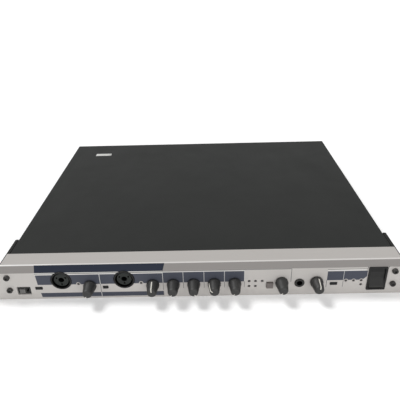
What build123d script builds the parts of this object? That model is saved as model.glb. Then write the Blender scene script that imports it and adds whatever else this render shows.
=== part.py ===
"""One-unit rack audio interface, as an assembly of separate pieces.

Frame: X to the right seen from the front, Y towards the rear, Z up. The origin is the centre
of the rack screw pattern on the rear face of the ears. All sizes are in millimetres.
"""
from build123d import *
import math
import os

os.makedirs("parts", exist_ok=True)

# ---- rack and case ------------------------------------------------------------------------
CASE_WIDTH = 435.0
CASE_DEPTH = 335.5
UNIT_HEIGHT = 44.0          # one rack unit
EAR_REACH = 22.5            # ear beyond the side of the case
SLOT_EDGE = 7.45            # slot centre from the ear's end
SLOT_PITCH_Z = 31.75        # rack hole rows in one unit
SLOT_LENGTH = 10.0
SLOT_WIDTH = 6.8
WALL_FRONT = 5.0            # front wall of the fascia
BEVEL_DROP = 7.8            # height of the bevel on the fascia's top edge
EDGE_ROUND = 1.0            # rounding between bevel and top strip
LIP_DEPTH = 22.0            # top strip and bottom lip behind the ear plane
LIP_WALL = 2.0
STRIP_REACH = 2.5           # top strip beyond the side of the case
SHEET = 1.0                 # steel sheet of cover, base and rear panel
BRACKET_T = 3.5             # side bracket beside the case
BRACKET_TAIL = 30.0         # bracket length beside the case
FLANGE_WIDTH = 9.5          # bracket flange behind the fascia
FLANGE_DEPTH = 6.0
REAR_LIP = 6.0              # cover's rear lip
SEAT = 0.1                  # gap between sheets that lie beside each other
EASE = 0.3                  # gap round a piece in its opening

RACK_WIDTH = CASE_WIDTH + 2 * EAR_REACH
SLOT_PITCH_X = RACK_WIDTH - 2 * SLOT_EDGE
STRIP_WIDTH = CASE_WIDTH + 2 * STRIP_REACH
BRACKET_WIDTH = CASE_WIDTH + 2 * BRACKET_T
TOP = UNIT_HEIGHT / 2
FACE_Y = -WALL_FRONT
CASE_FRONT = LIP_DEPTH
CASE_BACK = CASE_FRONT + CASE_DEPTH
CASE_HALF = CASE_WIDTH / 2
FLOOR_Z = -TOP + SHEET      # upper side of the base sheet
ROOF_Z = TOP - SHEET        # lower side of the cover sheet
BASE_HALF = CASE_HALF - SHEET - SEAT
BASE_INSIDE = BASE_HALF - SHEET
REAR_Y = CASE_BACK - SHEET - SEAT           # outer face of the rear panel
REAR_IN_Y = REAR_Y - SHEET                  # its inner face

# ---- front controls: places on the face ------------------------------------------------------
SCREW_X = CASE_HALF - 4.5
SCREW_PITCH_Z = 17.0
SCREW_MID_Z = 0.5
CHANNEL_PITCH = 70.0
COMBO_X = -153.9            # first combination jack
COMBO_Z = 3.4
CHANNEL_KNOB_X = -122.3     # first channel knob
KNOB_ROW_X = -52.3          # first of five knobs in a row
KNOB_PITCH = 22.7
KNOB_COUNT_ROW = 5
MONITOR_KNOB_X = 90.2
PHONES_KNOB_X = 128.7
KNOB_Z = -3.5
PHONES_X = 110.1
PHONES_Z = -5.1
SLIDE_X = -CASE_HALF + 20.0
SLIDE_Z = -9.7
BUTTONS = {                 # name: (x, z, width, height)
    "pad_button_1": (-180.2, -6.5, 7.8, 3.3),
    "pad_button_2": (-105.4, -6.5, 5.8, 3.3),
    "select_button": (148.0, -7.0, 7.8, 3.3),
    "square_button": (77.3, -7.2, 7.2, 7.2),
}
SQUARE_PROUD = 2.5
SLIM_PROUD = 0.9
BUTTON_TRAVEL = 1.5
POWER_X = CASE_HALF - 22.7
POWER_Z = -0.7

# ---- front controls: sizes -------------------------------------------------------------------
CAP_HEAD_R = 3.25
CAP_HEAD_L = 3.0
CAP_SHANK_R = 1.9
KNOB_R = 7.13
KNOB_TIP_R = 5.32
KNOB_SKIRT = 3.0
KNOB_NOSE = 3.0             # rounding of the knob's nose
KNOB_PROUD = 17.8           # knob tip ahead of the face
KNOB_GAP = 0.8              # between knob and face
SHAFT_R = 3.0
SHAFT_FLAT = 1.5            # depth of the flat on the shaft
RUNNING = 0.05              # radial clearance of anything that turns
BUSH_WALL = 0.55
POT_W = 10.0
POT_H = 11.0
POT_D = 6.8
BOARD_FRONT = 13.0          # front face of the front board
BOARD_T = 1.6
BARREL_R = 11.6
INSERT_R = 8.1
RING_DEPTH = 12.0
PLUG_R = 3.25               # bore for a 6.35 mm plug
PIN_CIRCLE = 5.6
PIN_R = 1.1
COMBO_W = 26.0
COMBO_H = 31.0
COMBO_BACK = 26.0
BARREL_RIM = 1.8            # barrel wall round the ring gap
COMBO_BORE = 26.0
PHONES_RING_R = 5.5
PHONES_RING_L = 1.2
SLEEVE_R = 4.4
PHONES_BODY = 13.0
PHONES_BORE = 25.0
SLIDE_W = 15.2
SLIDE_H = 10.4
LEVER_W = 6.0
LEVER_H = 5.2
LEVER_TRAVEL = 3.0
LEVER_SHIFT = -1.6          # lever's place at rest, from the middle of its housing
LAMP_R = 1.5
POWER_W = 20.7
POWER_H = 30.5
POWER_RIM = 1.2             # bezel thickness ahead of the face
POWER_NECK = 1.0            # bezel overhang round the panel opening
ROCKER_W = 15.8
ROCKER_H = 24.0
ROCKER_TILT = 6.0
PIVOT_Y = 0.5
PIVOT_R = 1.2

LAMPS = [(COMBO_X + 18.6, -1.6), (COMBO_X + CHANNEL_PITCH + 18.6, -1.6),
         (54.5, -1.8), (61.5, -1.8), (68.8, -1.9), (54.5, -8.7), (61.5, -8.7),
         (161.2, -3.4), (169.6, -3.4), (178.0, -3.4), (178.2, -8.9)]

# ---- rear connectors and boards ----------------------------------------------------------------
INLET_X = CASE_HALF - 32.5
INLET_Z = 0.0
INLET_HOLE_PITCH = 40.0
DIN_X = 128.0
DIN_PITCH = 24.0
DATA_X = 74.0
DATA_PITCH = 20.0
OPTICAL_X = 10.0
OPTICAL_PITCH = 18.0
PHONO_X = -36.0
PHONO_PITCH = 17.0
LINE_X = -70.0              # first column of line jacks
LINE_PITCH = 32.0
LINE_COLUMNS = 4
LINE_ROW_Z = 8.5
LINE_MID_Z = -2.0
LINE_BODY_W = 14.0
LINE_BODY_H = 15.0
LINE_BODY_D = 24.0
STANDOFF_H = 6.0
BOARD_Z = FLOOR_Z + STANDOFF_H
SUPPLY_W = 104.0
BOARD_MARGIN = 7.4          # boards from the base's sides
MAIN_BOARD = (-BASE_INSIDE + BOARD_MARGIN + 3.0, BASE_INSIDE - BOARD_MARGIN - SUPPLY_W - 19.0,
              CASE_FRONT + 38.0, REAR_IN_Y - 37.4)      # x from, x to, y from, y to
SUPPLY_BOARD = (BASE_INSIDE - BOARD_MARGIN - SUPPLY_W, BASE_INSIDE - BOARD_MARGIN,
                CASE_FRONT + 58.0, REAR_IN_Y - 55.4)

BUSH_R = SHAFT_R + RUNNING + BUSH_WALL
BARREL_IN_R = BARREL_R - BARREL_RIM

knob_places = [(CHANNEL_KNOB_X, KNOB_Z)]
knob_places += [(KNOB_ROW_X + i * KNOB_PITCH, KNOB_Z) for i in range(KNOB_COUNT_ROW)]
knob_places += [(MONITOR_KNOB_X, KNOB_Z), (PHONES_KNOB_X, KNOB_Z)]
combo_places = [(COMBO_X, COMBO_Z), (COMBO_X + CHANNEL_PITCH, COMBO_Z)]
screw_places = [(sx * SCREW_X, SCREW_MID_Z + sz * SCREW_PITCH_Z / 2)
                for sx in (-1, 1) for sz in (-1, 1)]
line_places = [(LINE_X - i * LINE_PITCH, LINE_MID_Z + row * LINE_ROW_Z)
               for i in range(LINE_COLUMNS) for row in (-1, 1)]
din_places = [(DIN_X - i * DIN_PITCH, 0.0) for i in range(2)]
data_places = [(DATA_X - i * DATA_PITCH, 2.0) for i in range(3)]
optical_places = [(OPTICAL_X - i * OPTICAL_PITCH, 0.0) for i in range(2)]
phono_places = [(PHONO_X, PHONO_PITCH / 2 - 2.0), (PHONO_X, -PHONO_PITCH / 2 - 2.0)]


def facing(y):
    """Sketch plane at depth y whose axes are the row's X and Z; extrusion goes rearwards."""
    return Plane(origin=(0, y, 0), x_dir=(1, 0, 0), z_dir=(0, -1, 0))


def save(piece, name):
    """Label one finished sub-part and write it to its own file."""
    piece.part.label = name
    export_step(piece.part, "parts/" + name + ".step")


def rod(places, radius, y_from, y_to, mode=Mode.ADD):
    """Cylinders along Y, one at each (x, z) place."""
    with BuildSketch(facing(y_from)) as outline:
        with Locations(*places):
            Circle(radius)
    extrude(outline.sketch, amount=-(y_to - y_from), mode=mode)


def block(places, width, height, y_from, y_to, mode=Mode.ADD, corner=0.0):
    """Rectangular prisms along Y, one at each (x, z) place, with optional round corners."""
    with BuildSketch(facing(y_from)) as outline:
        with Locations(*places):
            if corner > 0:
                RectangleRounded(width, height, corner)
            else:
                Rectangle(width, height)
    extrude(outline.sketch, amount=-(y_to - y_from), mode=mode)


def slab(x_from, x_to, y_from, y_to, z_from, z_to, mode=Mode.ADD):
    """A box given by its limits along the three axes."""
    with BuildSketch(Plane.XY.offset(z_from)) as outline:
        with Locations(((x_from + x_to) / 2, (y_from + y_to) / 2)):
            Rectangle(x_to - x_from, y_to - y_from)
    extrude(outline.sketch, amount=z_to - z_from, mode=mode)


def cross_rod(places, radius, x_from, x_to, mode=Mode.ADD):
    """Cylinders along X, one at each (y, z) place."""
    with BuildSketch(Plane.YZ.offset(x_from)) as outline:
        with Locations(*places):
            Circle(radius)
    extrude(outline.sketch, amount=x_to - x_from, mode=mode)


# ---- enclosure -----------------------------------------------------------------------------
def opening(spec):
    """Width and height of the fascia opening for one push button."""
    return spec[2] + 2 * EASE, spec[3] + 2 * EASE


with BuildPart() as front_panel:
    # strip, bevel, front wall and bottom lip in one extruded section
    with BuildSketch(Plane.YZ.offset(-STRIP_WIDTH / 2)) as channel:
        with BuildLine():
            Polyline((LIP_DEPTH, TOP), (0, TOP), (FACE_Y, TOP - BEVEL_DROP), (FACE_Y, -TOP),
                     (LIP_DEPTH, -TOP), (LIP_DEPTH, -TOP + LIP_WALL), (0, -TOP + LIP_WALL),
                     (0, TOP - LIP_WALL), (LIP_DEPTH, TOP - LIP_WALL), close=True)
        make_face()
        fillet(channel.vertices().filter_by(
            lambda v: v.X < 0.01 and v.Y > 0 and abs(v.Y - TOP + LIP_WALL) > 0.1), radius=EDGE_ROUND)
    extrude(amount=STRIP_WIDTH)
    # ears: the front wall alone, beyond the strip
    for side in (-1, 1):
        ear_from = min(side * STRIP_WIDTH / 2, side * RACK_WIDTH / 2)
        with BuildSketch(Plane.YZ.offset(ear_from)) as ear:
            with BuildLine():
                Polyline((0, TOP), (FACE_Y, TOP - BEVEL_DROP), (FACE_Y, -TOP), (0, -TOP), close=True)
            make_face()
            fillet(ear.vertices().filter_by(lambda v: v.X < -1 and v.Y > 0), radius=EDGE_ROUND)
        extrude(amount=(RACK_WIDTH - STRIP_WIDTH) / 2)
    chamfer(front_panel.edges().filter_by(Axis.X).filter_by(
        lambda e: e.center().Y < FACE_Y + 0.1 and e.center().Z < -TOP + 0.1), length=0.5)
    chamfer(front_panel.edges().filter_by(Axis.Z).filter_by(
        lambda e: e.center().Y < FACE_Y + 0.1), length=0.5)
    with BuildSketch(facing(FACE_Y - 1)):
        with GridLocations(SLOT_PITCH_X, SLOT_PITCH_Z, 2, 2):
            SlotOverall(SLOT_LENGTH, SLOT_WIDTH)
    extrude(amount=-(WALL_FRONT + 2), mode=Mode.SUBTRACT)
    rod(knob_places, BUSH_R + EASE, FACE_Y - 1, 1, Mode.SUBTRACT)
    rod(combo_places, BARREL_R + EASE, FACE_Y - 1, 1, Mode.SUBTRACT)
    rod([(PHONES_X, PHONES_Z)], SLEEVE_R + EASE, FACE_Y - 1, 1, Mode.SUBTRACT)
    rod(LAMPS, LAMP_R + SEAT, FACE_Y - 1, 1, Mode.SUBTRACT)
    rod(screw_places, CAP_SHANK_R + EASE, FACE_Y - 1, 1, Mode.SUBTRACT)
    block([(SLIDE_X, SLIDE_Z)], SLIDE_W + 2 * SEAT, SLIDE_H + 2 * SEAT, FACE_Y - 1, 1, Mode.SUBTRACT)
    block([(POWER_X, POWER_Z)], POWER_W - 2 * POWER_NECK + 2 * SEAT,
          POWER_H - 2 * POWER_NECK + 2 * SEAT, FACE_Y - 1, 1, Mode.SUBTRACT)
    for button in BUTTONS.values():
        block([button[:2]], *opening(button), FACE_Y - 1, 1, Mode.SUBTRACT)
save(front_panel, "front_panel")

side_screw_y = [CASE_FRONT + share * CASE_DEPTH for share in (0.30, 0.63)] + [REAR_IN_Y - 7.0]
bracket_screw_y = CASE_FRONT + BRACKET_TAIL / 2
BRACKET_SCREW_Z = 12.0
CASE_SCREW_R = 1.4
CASE_HEAD_R = 2.8
CASE_HEAD_L = 1.6
CASE_HOLE_R = CASE_SCREW_R + SEAT
side_hole_places = [(y, 0.0) for y in side_screw_y]
bracket_hole_places = [(bracket_screw_y, z) for z in (-BRACKET_SCREW_Z, BRACKET_SCREW_Z)]
lip_screw_places = [(share * CASE_WIDTH, TOP - REAR_LIP / 2 - 0.4) for share in (-0.45, 0.02, 0.45)]

with BuildPart() as top_cover:
    slab(-CASE_HALF, CASE_HALF, CASE_FRONT, CASE_BACK, -TOP, TOP)
    for side in (-1, 1):
        fillet(top_cover.edges().filter_by(Axis.Y).filter_by(
            lambda e: e.center().Z > TOP - 0.1 and e.center().X * side > CASE_HALF - 0.1), radius=1.6)
    slab(-CASE_HALF + SHEET, CASE_HALF - SHEET, CASE_FRONT - 1, CASE_BACK - SHEET,
         -TOP - 1, ROOF_Z, Mode.SUBTRACT)
    slab(-CASE_HALF + SHEET, CASE_HALF - SHEET, CASE_BACK - SHEET - 1, CASE_BACK + 1,
         -TOP - 1, TOP - REAR_LIP, Mode.SUBTRACT)
    cross_rod(side_hole_places + bracket_hole_places, CASE_HOLE_R,
              -CASE_HALF - 1, CASE_HALF + 1, Mode.SUBTRACT)
    rod(lip_screw_places, CASE_HOLE_R, CASE_BACK - SHEET - 1, CASE_BACK + 1, Mode.SUBTRACT)
save(top_cover, "top_cover")

window_places = [(x, z) for x, z in combo_places]
RIBBON_X = 0.0
RIBBON_W = 30.0
with BuildPart() as base_pan:
    slab(-BASE_HALF, BASE_HALF, CASE_FRONT, CASE_BACK, -TOP, ROOF_Z - SEAT)
    slab(-BASE_INSIDE, BASE_INSIDE, CASE_FRONT + SHEET, CASE_BACK + 1, FLOOR_Z, TOP, Mode.SUBTRACT)
    slab(-CASE_HALF, CASE_HALF, REAR_Y, CASE_BACK + 1, FLOOR_Z, TOP, Mode.SUBTRACT)
    block(window_places, COMBO_W + 2 * EASE, COMBO_H + 2 * EASE, CASE_FRONT - 1,
          CASE_FRONT + SHEET + 1, Mode.SUBTRACT)
    block([(PHONES_X, PHONES_Z)], PHONES_BODY + 2 * EASE, PHONES_BODY + 2 * EASE, CASE_FRONT - 1,
          CASE_FRONT + SHEET + 1, Mode.SUBTRACT)
    block([(POWER_X, POWER_Z)], POWER_W, POWER_H, CASE_FRONT - 1, CASE_FRONT + SHEET + 1, Mode.SUBTRACT)
    block([(RIBBON_X, -6.0)], RIBBON_W + 6, 14.0, CASE_FRONT - 1, CASE_FRONT + SHEET + 1, Mode.SUBTRACT)
    cross_rod(side_hole_places + bracket_hole_places, CASE_HOLE_R,
              -CASE_HALF - 1, CASE_HALF + 1, Mode.SUBTRACT)
save(base_pan, "base_pan")

with BuildPart() as rear_panel:
    slab(-BASE_INSIDE + SEAT, BASE_INSIDE - SEAT, REAR_IN_Y, REAR_Y, FLOOR_Z, ROOF_Z - SEAT)
    for side in (-1, 1):
        edge = side * (BASE_INSIDE - SEAT)
        slab(min(edge, edge - side * SHEET), max(edge, edge - side * SHEET),
             REAR_IN_Y - 14.0, REAR_IN_Y, FLOOR_Z, ROOF_Z - SEAT)
    cross_rod([side_hole_places[-1]], CASE_HOLE_R, -CASE_HALF, CASE_HALF, Mode.SUBTRACT)
    rod(lip_screw_places, CASE_HOLE_R, REAR_IN_Y - 1, REAR_Y + 1, Mode.SUBTRACT)
    block([(INLET_X, INLET_Z)], 28.6, 21.0, REAR_IN_Y - 1, REAR_Y + 1, Mode.SUBTRACT, 2.0)
    rod([(INLET_X + s * INLET_HOLE_PITCH / 2, INLET_Z) for s in (-1, 1)], CASE_HOLE_R,
        REAR_IN_Y - 1, REAR_Y + 1, Mode.SUBTRACT)
    rod(din_places, 8.0, REAR_IN_Y - 1, REAR_Y + 1, Mode.SUBTRACT)
    block(data_places, 13.0, 8.0, REAR_IN_Y - 1, REAR_Y + 1, Mode.SUBTRACT)
    block(optical_places, 10.4, 10.4, REAR_IN_Y - 1, REAR_Y + 1, Mode.SUBTRACT)
    rod(phono_places, 5.2, REAR_IN_Y - 1, REAR_Y + 1, Mode.SUBTRACT)
    rod(line_places, SLEEVE_R + SEAT, REAR_IN_Y - 1, REAR_Y + 1, Mode.SUBTRACT)
save(rear_panel, "rear_panel")


def side_bracket(side):
    """Black bracket beside the case: cheek, rebates for the fascia's lips, flange with threads."""
    inner, outer = CASE_HALF, BRACKET_WIDTH / 2
    strip_end = STRIP_WIDTH / 2 + SEAT
    with BuildPart() as bracket:
        slab(min(side * inner, side * outer), max(side * inner, side * outer),
             0, CASE_FRONT + BRACKET_TAIL, -TOP, TOP)
        for low, high in ((TOP - LIP_WALL - SEAT, TOP + 1), (-TOP - 1, -TOP + LIP_WALL + SEAT)):
            slab(min(side * (inner - 1), side * strip_end), max(side * (inner - 1), side * strip_end),
                 -1, LIP_DEPTH + SEAT, low, high, Mode.SUBTRACT)
        flange_end = inner - FLANGE_WIDTH
        slab(min(side * flange_end, side * inner), max(side * flange_end, side * inner),
             0, FLANGE_DEPTH, -TOP + LIP_WALL + SEAT, TOP - LIP_WALL - SEAT)
        rod([p for p in screw_places if p[0] * side > 0], CAP_SHANK_R + SEAT,
            -1, FLANGE_DEPTH + 1, Mode.SUBTRACT)
        cross_rod(bracket_hole_places, CASE_HOLE_R, -BRACKET_WIDTH, BRACKET_WIDTH, Mode.SUBTRACT)
        seat_x = outer - CASE_HEAD_L
        cross_rod(bracket_hole_places, CASE_HEAD_R + SEAT, min(side * seat_x, side * (outer + 1)),
                  max(side * seat_x, side * (outer + 1)), Mode.SUBTRACT)
        chamfer(bracket.faces().sort_by(Axis.Y)[-1].edges().filter_by(Axis.Z).sort_by(
            lambda e: abs(e.center().X))[-1], length=1.0)
    return bracket


save(side_bracket(-1), "side_bracket_left")
save(side_bracket(1), "side_bracket_right")

# ---- fasteners -----------------------------------------------------------------------------
with BuildPart() as panel_screws:
    rod(screw_places, CAP_HEAD_R, FACE_Y - CAP_HEAD_L, FACE_Y)
    fillet(panel_screws.edges().filter_by(GeomType.CIRCLE).group_by(Axis.Y)[0], radius=0.7)
    rod(screw_places, CAP_SHANK_R, FACE_Y, FLANGE_DEPTH - 0.5)
    with BuildSketch(facing(FACE_Y - CAP_HEAD_L - 1)):
        with Locations(*screw_places):
            RegularPolygon(1.45, 6)
    extrude(amount=-(1 + 1.6), mode=Mode.SUBTRACT)
save(panel_screws, "panel_screws")

with BuildPart() as case_screws:
    for side in (-1, 1):
        head_in = CASE_HALF * side
        head_out = (CASE_HALF + CASE_HEAD_L) * side
        cross_rod(side_hole_places, CASE_HEAD_R, min(head_in, head_out), max(head_in, head_out))
        tip = (CASE_HALF - 4.5) * side
        cross_rod(side_hole_places, CASE_SCREW_R, min(head_in, tip), max(head_in, tip))
        outer = BRACKET_WIDTH / 2 * side
        seat_x = (BRACKET_WIDTH / 2 - CASE_HEAD_L) * side
        cross_rod(bracket_hole_places, CASE_HEAD_R, min(outer, seat_x), max(outer, seat_x))
        cross_rod(bracket_hole_places, CASE_SCREW_R, min(seat_x, tip), max(seat_x, tip))
    rod(lip_screw_places, CASE_HEAD_R, CASE_BACK, CASE_BACK + CASE_HEAD_L)
    rod(lip_screw_places, CASE_SCREW_R, REAR_IN_Y - 2.0, CASE_BACK)
    inlet_screws = [(INLET_X + s * INLET_HOLE_PITCH / 2, INLET_Z) for s in (-1, 1)]
    rod(inlet_screws, CASE_HEAD_R, REAR_Y + 2.0, REAR_Y + 2.0 + CASE_HEAD_L)
    rod(inlet_screws, CASE_SCREW_R, REAR_IN_Y - 2.0, REAR_Y + 2.0)
save(case_screws, "case_screws")

# ---- knobs, shafts and potentiometers ---------------------------------------------------------
SHAFT_TIP_Y = FACE_Y - KNOB_PROUD + 3.0
SHAFT_END_Y = BOARD_FRONT - POT_D + 3.0
KNOB_BACK_Y = FACE_Y - KNOB_GAP


def shaft_section(radius):
    """Round shaft section with one flat, its flat side upwards."""
    Circle(radius)
    with Locations((0, 2 * radius - SHAFT_FLAT)):
        Rectangle(3 * radius, 2 * radius, mode=Mode.SUBTRACT)


def make_knob(x, z):
    """Tapered knob with a short skirt, a rounded nose and a blind bore for its shaft."""
    nose = FACE_Y - KNOB_PROUD
    with BuildPart() as knob:
        with BuildSketch(Plane(origin=(x, 0, z), x_dir=(1, 0, 0), z_dir=(0, 0, 1))):
            with BuildLine():
                Polyline((0, KNOB_BACK_Y), (KNOB_R, KNOB_BACK_Y), (KNOB_R, KNOB_BACK_Y - KNOB_SKIRT),
                         (KNOB_TIP_R, nose), (0, nose), close=True)
            make_face()
        revolve(axis=Axis((x, 0, z), (0, 1, 0)))
        rims = knob.edges().filter_by(GeomType.CIRCLE).sort_by(Axis.Y)
        fillet(rims[0], radius=KNOB_NOSE)
        with BuildSketch(facing(KNOB_BACK_Y)):
            with Locations((x, z)):
                shaft_section(SHAFT_R + RUNNING)
        extrude(amount=KNOB_BACK_Y - SHAFT_TIP_Y + RUNNING, mode=Mode.SUBTRACT)
    return knob


def make_shaft(x, z):
    """Potentiometer shaft: flatted ahead of the face, round where it turns in its bush."""
    with BuildPart() as shaft:
        with BuildSketch(facing(FACE_Y)):
            with Locations((x, z)):
                shaft_section(SHAFT_R)
        extrude(amount=FACE_Y - SHAFT_TIP_Y)
        rod([(x, z)], SHAFT_R, FACE_Y, SHAFT_END_Y)
    return shaft


for number, (x, z) in enumerate(knob_places, start=1):
    save(make_knob(x, z), "knob_" + str(number))
    save(make_shaft(x, z), "knob_shaft_" + str(number))

with BuildPart() as potentiometers:
    block(knob_places, POT_W, POT_H, BOARD_FRONT - POT_D, BOARD_FRONT)
    rod(knob_places, BUSH_R, FACE_Y + 1.0, BOARD_FRONT - POT_D)
    rod(knob_places, SHAFT_R + RUNNING, FACE_Y, SHAFT_END_Y + 0.5, Mode.SUBTRACT)
save(potentiometers, "potentiometers")


# ---- jacks in the front ------------------------------------------------------------------------
def make_combo(x, z):
    """Combination jack: barrel, ring gap for a shell, insert with pin holes and a plug bore."""
    pins = [(x + PIN_CIRCLE * math.sin(a), z + PIN_CIRCLE * math.cos(a))
            for a in (math.radians(-60), math.radians(60), math.radians(180))]
    with BuildPart() as jack:
        block([(x, z)], COMBO_W, COMBO_H, 0, COMBO_BACK)
        rod([(x, z)], BARREL_R, FACE_Y - 0.6, 0)
        fillet(jack.edges().filter_by(GeomType.CIRCLE).sort_by(Axis.Y)[0], radius=0.5)
        rod([(x, z)], BARREL_IN_R, FACE_Y - 1, FACE_Y + RING_DEPTH, Mode.SUBTRACT)
        rod([(x, z)], INSERT_R, FACE_Y + 1.2, FACE_Y + RING_DEPTH + 1)
        rod(pins, PIN_R + RUNNING, FACE_Y, FACE_Y + 24.0, Mode.SUBTRACT)
        rod([(x, z)], PLUG_R, FACE_Y, FACE_Y + 1.2 + COMBO_BORE, Mode.SUBTRACT)
    return jack


for number, (x, z) in enumerate(combo_places, start=1):
    save(make_combo(x, z), "combo_jack_" + str(number))

with BuildPart() as combo_contacts:
    for x, z in combo_places:
        spots = [(x + PIN_CIRCLE * math.sin(a), z + PIN_CIRCLE * math.cos(a))
                 for a in (math.radians(-60), math.radians(60), math.radians(180))]
        rod(spots, PIN_R, FACE_Y + 3.0, FACE_Y + 24.0)
        rod(spots, PIN_R - 0.35, FACE_Y + 2.0, FACE_Y + 14.0, Mode.SUBTRACT)
save(combo_contacts, "combo_contacts")

with BuildPart() as phones_jack:
    block([(PHONES_X, PHONES_Z)], PHONES_BODY, PHONES_BODY, 0, BOARD_FRONT + BOARD_T + 10.0)
    rod([(PHONES_X, PHONES_Z)], SLEEVE_R, FACE_Y - PHONES_RING_L, 0)
    rod([(PHONES_X, PHONES_Z)], PLUG_R, FACE_Y - PHONES_RING_L - 1,
        FACE_Y - PHONES_RING_L + PHONES_BORE, Mode.SUBTRACT)
save(phones_jack, "phones_jack")

with BuildPart() as phones_ring:
    rod([(PHONES_X, PHONES_Z)], PHONES_RING_R, FACE_Y - PHONES_RING_L, FACE_Y)
    fillet(phones_ring.edges().filter_by(GeomType.CIRCLE).sort_by(Axis.Y)[0], radius=0.4)
    rod([(PHONES_X, PHONES_Z)], SLEEVE_R + SEAT, FACE_Y - PHONES_RING_L - 1, FACE_Y + 1, Mode.SUBTRACT)
save(phones_ring, "phones_ring")

# ---- switches ----------------------------------------------------------------------------------
LEVER_FRONT = FACE_Y - 1.2
LEVER_BACK = 3.7
slot_length = LEVER_W + LEVER_TRAVEL + 2 * EASE
slot_mid = SLIDE_X + LEVER_SHIFT + LEVER_TRAVEL / 2

with BuildPart() as slide_housing:
    block([(SLIDE_X, SLIDE_Z)], SLIDE_W, SLIDE_H, FACE_Y + 2.0, BOARD_FRONT - 4.0)
    block([(slot_mid, SLIDE_Z)], slot_length, LEVER_H + 2 * EASE, FACE_Y, LEVER_BACK + EASE, Mode.SUBTRACT)
    block([(SLIDE_X + s * 5.0, SLIDE_Z) for s in (-1, 1)], 1.0, 1.0, BOARD_FRONT - 4.0, BOARD_FRONT)
save(slide_housing, "slide_housing")

with BuildPart() as slide_lever:
    lever_x = SLIDE_X + LEVER_SHIFT
    block([(lever_x, SLIDE_Z)], LEVER_W, LEVER_H, LEVER_FRONT, LEVER_BACK)
    fillet(slide_lever.edges().filter_by(Axis.Z).group_by(Axis.Y)[0], radius=0.6)
    ribs = [(lever_x + dx, SLIDE_Z) for dx in (-1.5, 0, 1.5)]
    block(ribs, 0.5, LEVER_H + 1, LEVER_FRONT - 1, LEVER_FRONT + 0.4, Mode.SUBTRACT)
save(slide_lever, "slide_lever")

SWITCH_D = 4.0
STEM_R = 1.6
stem_end = BOARD_FRONT - SWITCH_D - BUTTON_TRAVEL - EASE
for name, (x, z, width, height) in BUTTONS.items():
    proud = SQUARE_PROUD if name == "square_button" else SLIM_PROUD
    with BuildPart() as button:
        block([(x, z)], width, height, FACE_Y - proud, 2.0)
        fillet(button.faces().sort_by(Axis.Y)[0].edges(), radius=0.4)
        rod([(x, z)], STEM_R, 2.0, stem_end)
    save(button, name)

with BuildPart() as button_switches:
    places = [spec[:2] for spec in BUTTONS.values()]
    block(places, 6.0, 6.0, BOARD_FRONT - SWITCH_D, BOARD_FRONT)
save(button_switches, "button_switches")

with BuildPart() as indicator_lamps:
    rod(LAMPS, LAMP_R, FACE_Y - 0.5, 2.5)
    fillet(indicator_lamps.edges().filter_by(GeomType.CIRCLE).group_by(Axis.Y)[0], radius=1.0)
    legs = [(x + dx, z) for x, z in LAMPS for dx in (-0.7, 0.7)]
    block(legs, 0.5, 0.5, 2.5, BOARD_FRONT)
save(indicator_lamps, "indicator_lamps")

# ---- power switch ----------------------------------------------------------------------------
neck_w = POWER_W - 2 * POWER_NECK
neck_h = POWER_H - 2 * POWER_NECK
POWER_BACK = 20.0
well_w = ROCKER_W + 2 * EASE
well_h = ROCKER_H + 2.6
RIM_Y = FACE_Y - POWER_RIM

with BuildPart() as power_frame:
    block([(POWER_X, POWER_Z)], POWER_W, POWER_H, RIM_Y, FACE_Y, corner=1.0)
    block([(POWER_X, POWER_Z)], neck_w, neck_h, FACE_Y, POWER_BACK)
    block([(POWER_X, POWER_Z)], well_w, well_h, RIM_Y - 1, 6.0, Mode.SUBTRACT)
    cross_rod([(PIVOT_Y, POWER_Z)], PIVOT_R + RUNNING, POWER_X - neck_w / 2 - 1,
              POWER_X + neck_w / 2 + 1, Mode.SUBTRACT)
    block([(POWER_X, POWER_Z + dz) for dz in (-8.0, 0.0, 8.0)], 6.3, 0.8, POWER_BACK, POWER_BACK + 8.0)
save(power_frame, "power_frame")

with BuildPart() as power_rocker:
    half = ROCKER_H / 2
    with BuildSketch(Plane.YZ.offset(POWER_X - ROCKER_W / 2)):
        with BuildLine():
            Polyline((FACE_Y - 1.2, POWER_Z + half), (FACE_Y + 0.4, POWER_Z), (FACE_Y - 1.2, POWER_Z - half),
                     (-2.5, POWER_Z - half), (3.2, POWER_Z - 5.0), (3.2, POWER_Z + 5.0),
                     (-2.5, POWER_Z + half), close=True)
        make_face()
    extrude(amount=ROCKER_W)
    cross_rod([(PIVOT_Y, POWER_Z)], PIVOT_R, POWER_X - neck_w / 2 + 0.2, POWER_X + neck_w / 2 - 0.2)
pivot = Axis((POWER_X, PIVOT_Y, POWER_Z), (1, 0, 0))
power_rocker.part = power_rocker.part.rotate(pivot, -ROCKER_TILT)
save(power_rocker, "power_rocker")

# ---- rear connectors ---------------------------------------------------------------------------
INLET_W = 24.4
INLET_H = 16.6
INLET_D = 17.0
with BuildPart() as mains_inlet:
    block([(INLET_X, INLET_Z)], INLET_HOLE_PITCH + 9.0, 23.0, REAR_Y, REAR_Y + 2.0, corner=3.0)
    block([(INLET_X, INLET_Z)], 28.0, 20.4, REAR_IN_Y - 20.0, REAR_Y, corner=2.0)
    block([(INLET_X, INLET_Z)], INLET_W, INLET_H, REAR_Y + 2.0 - INLET_D, REAR_Y + 3.0, Mode.SUBTRACT)
    rod(inlet_screws, CASE_HOLE_R, REAR_Y - 1, REAR_Y + 3, Mode.SUBTRACT)
save(mains_inlet, "mains_inlet")

blade_places = [(INLET_X - 7.0, INLET_Z + 2.0), (INLET_X + 7.0, INLET_Z + 2.0), (INLET_X, INLET_Z - 2.0)]
with BuildPart() as inlet_pins:
    block(blade_places, 2.0, 4.0, REAR_Y + 2.0 - INLET_D, REAR_Y - 2.0)
    block(blade_places, 4.8, 0.8, REAR_IN_Y - 27.0, REAR_IN_Y - 20.0)
save(inlet_pins, "inlet_pins")

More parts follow.
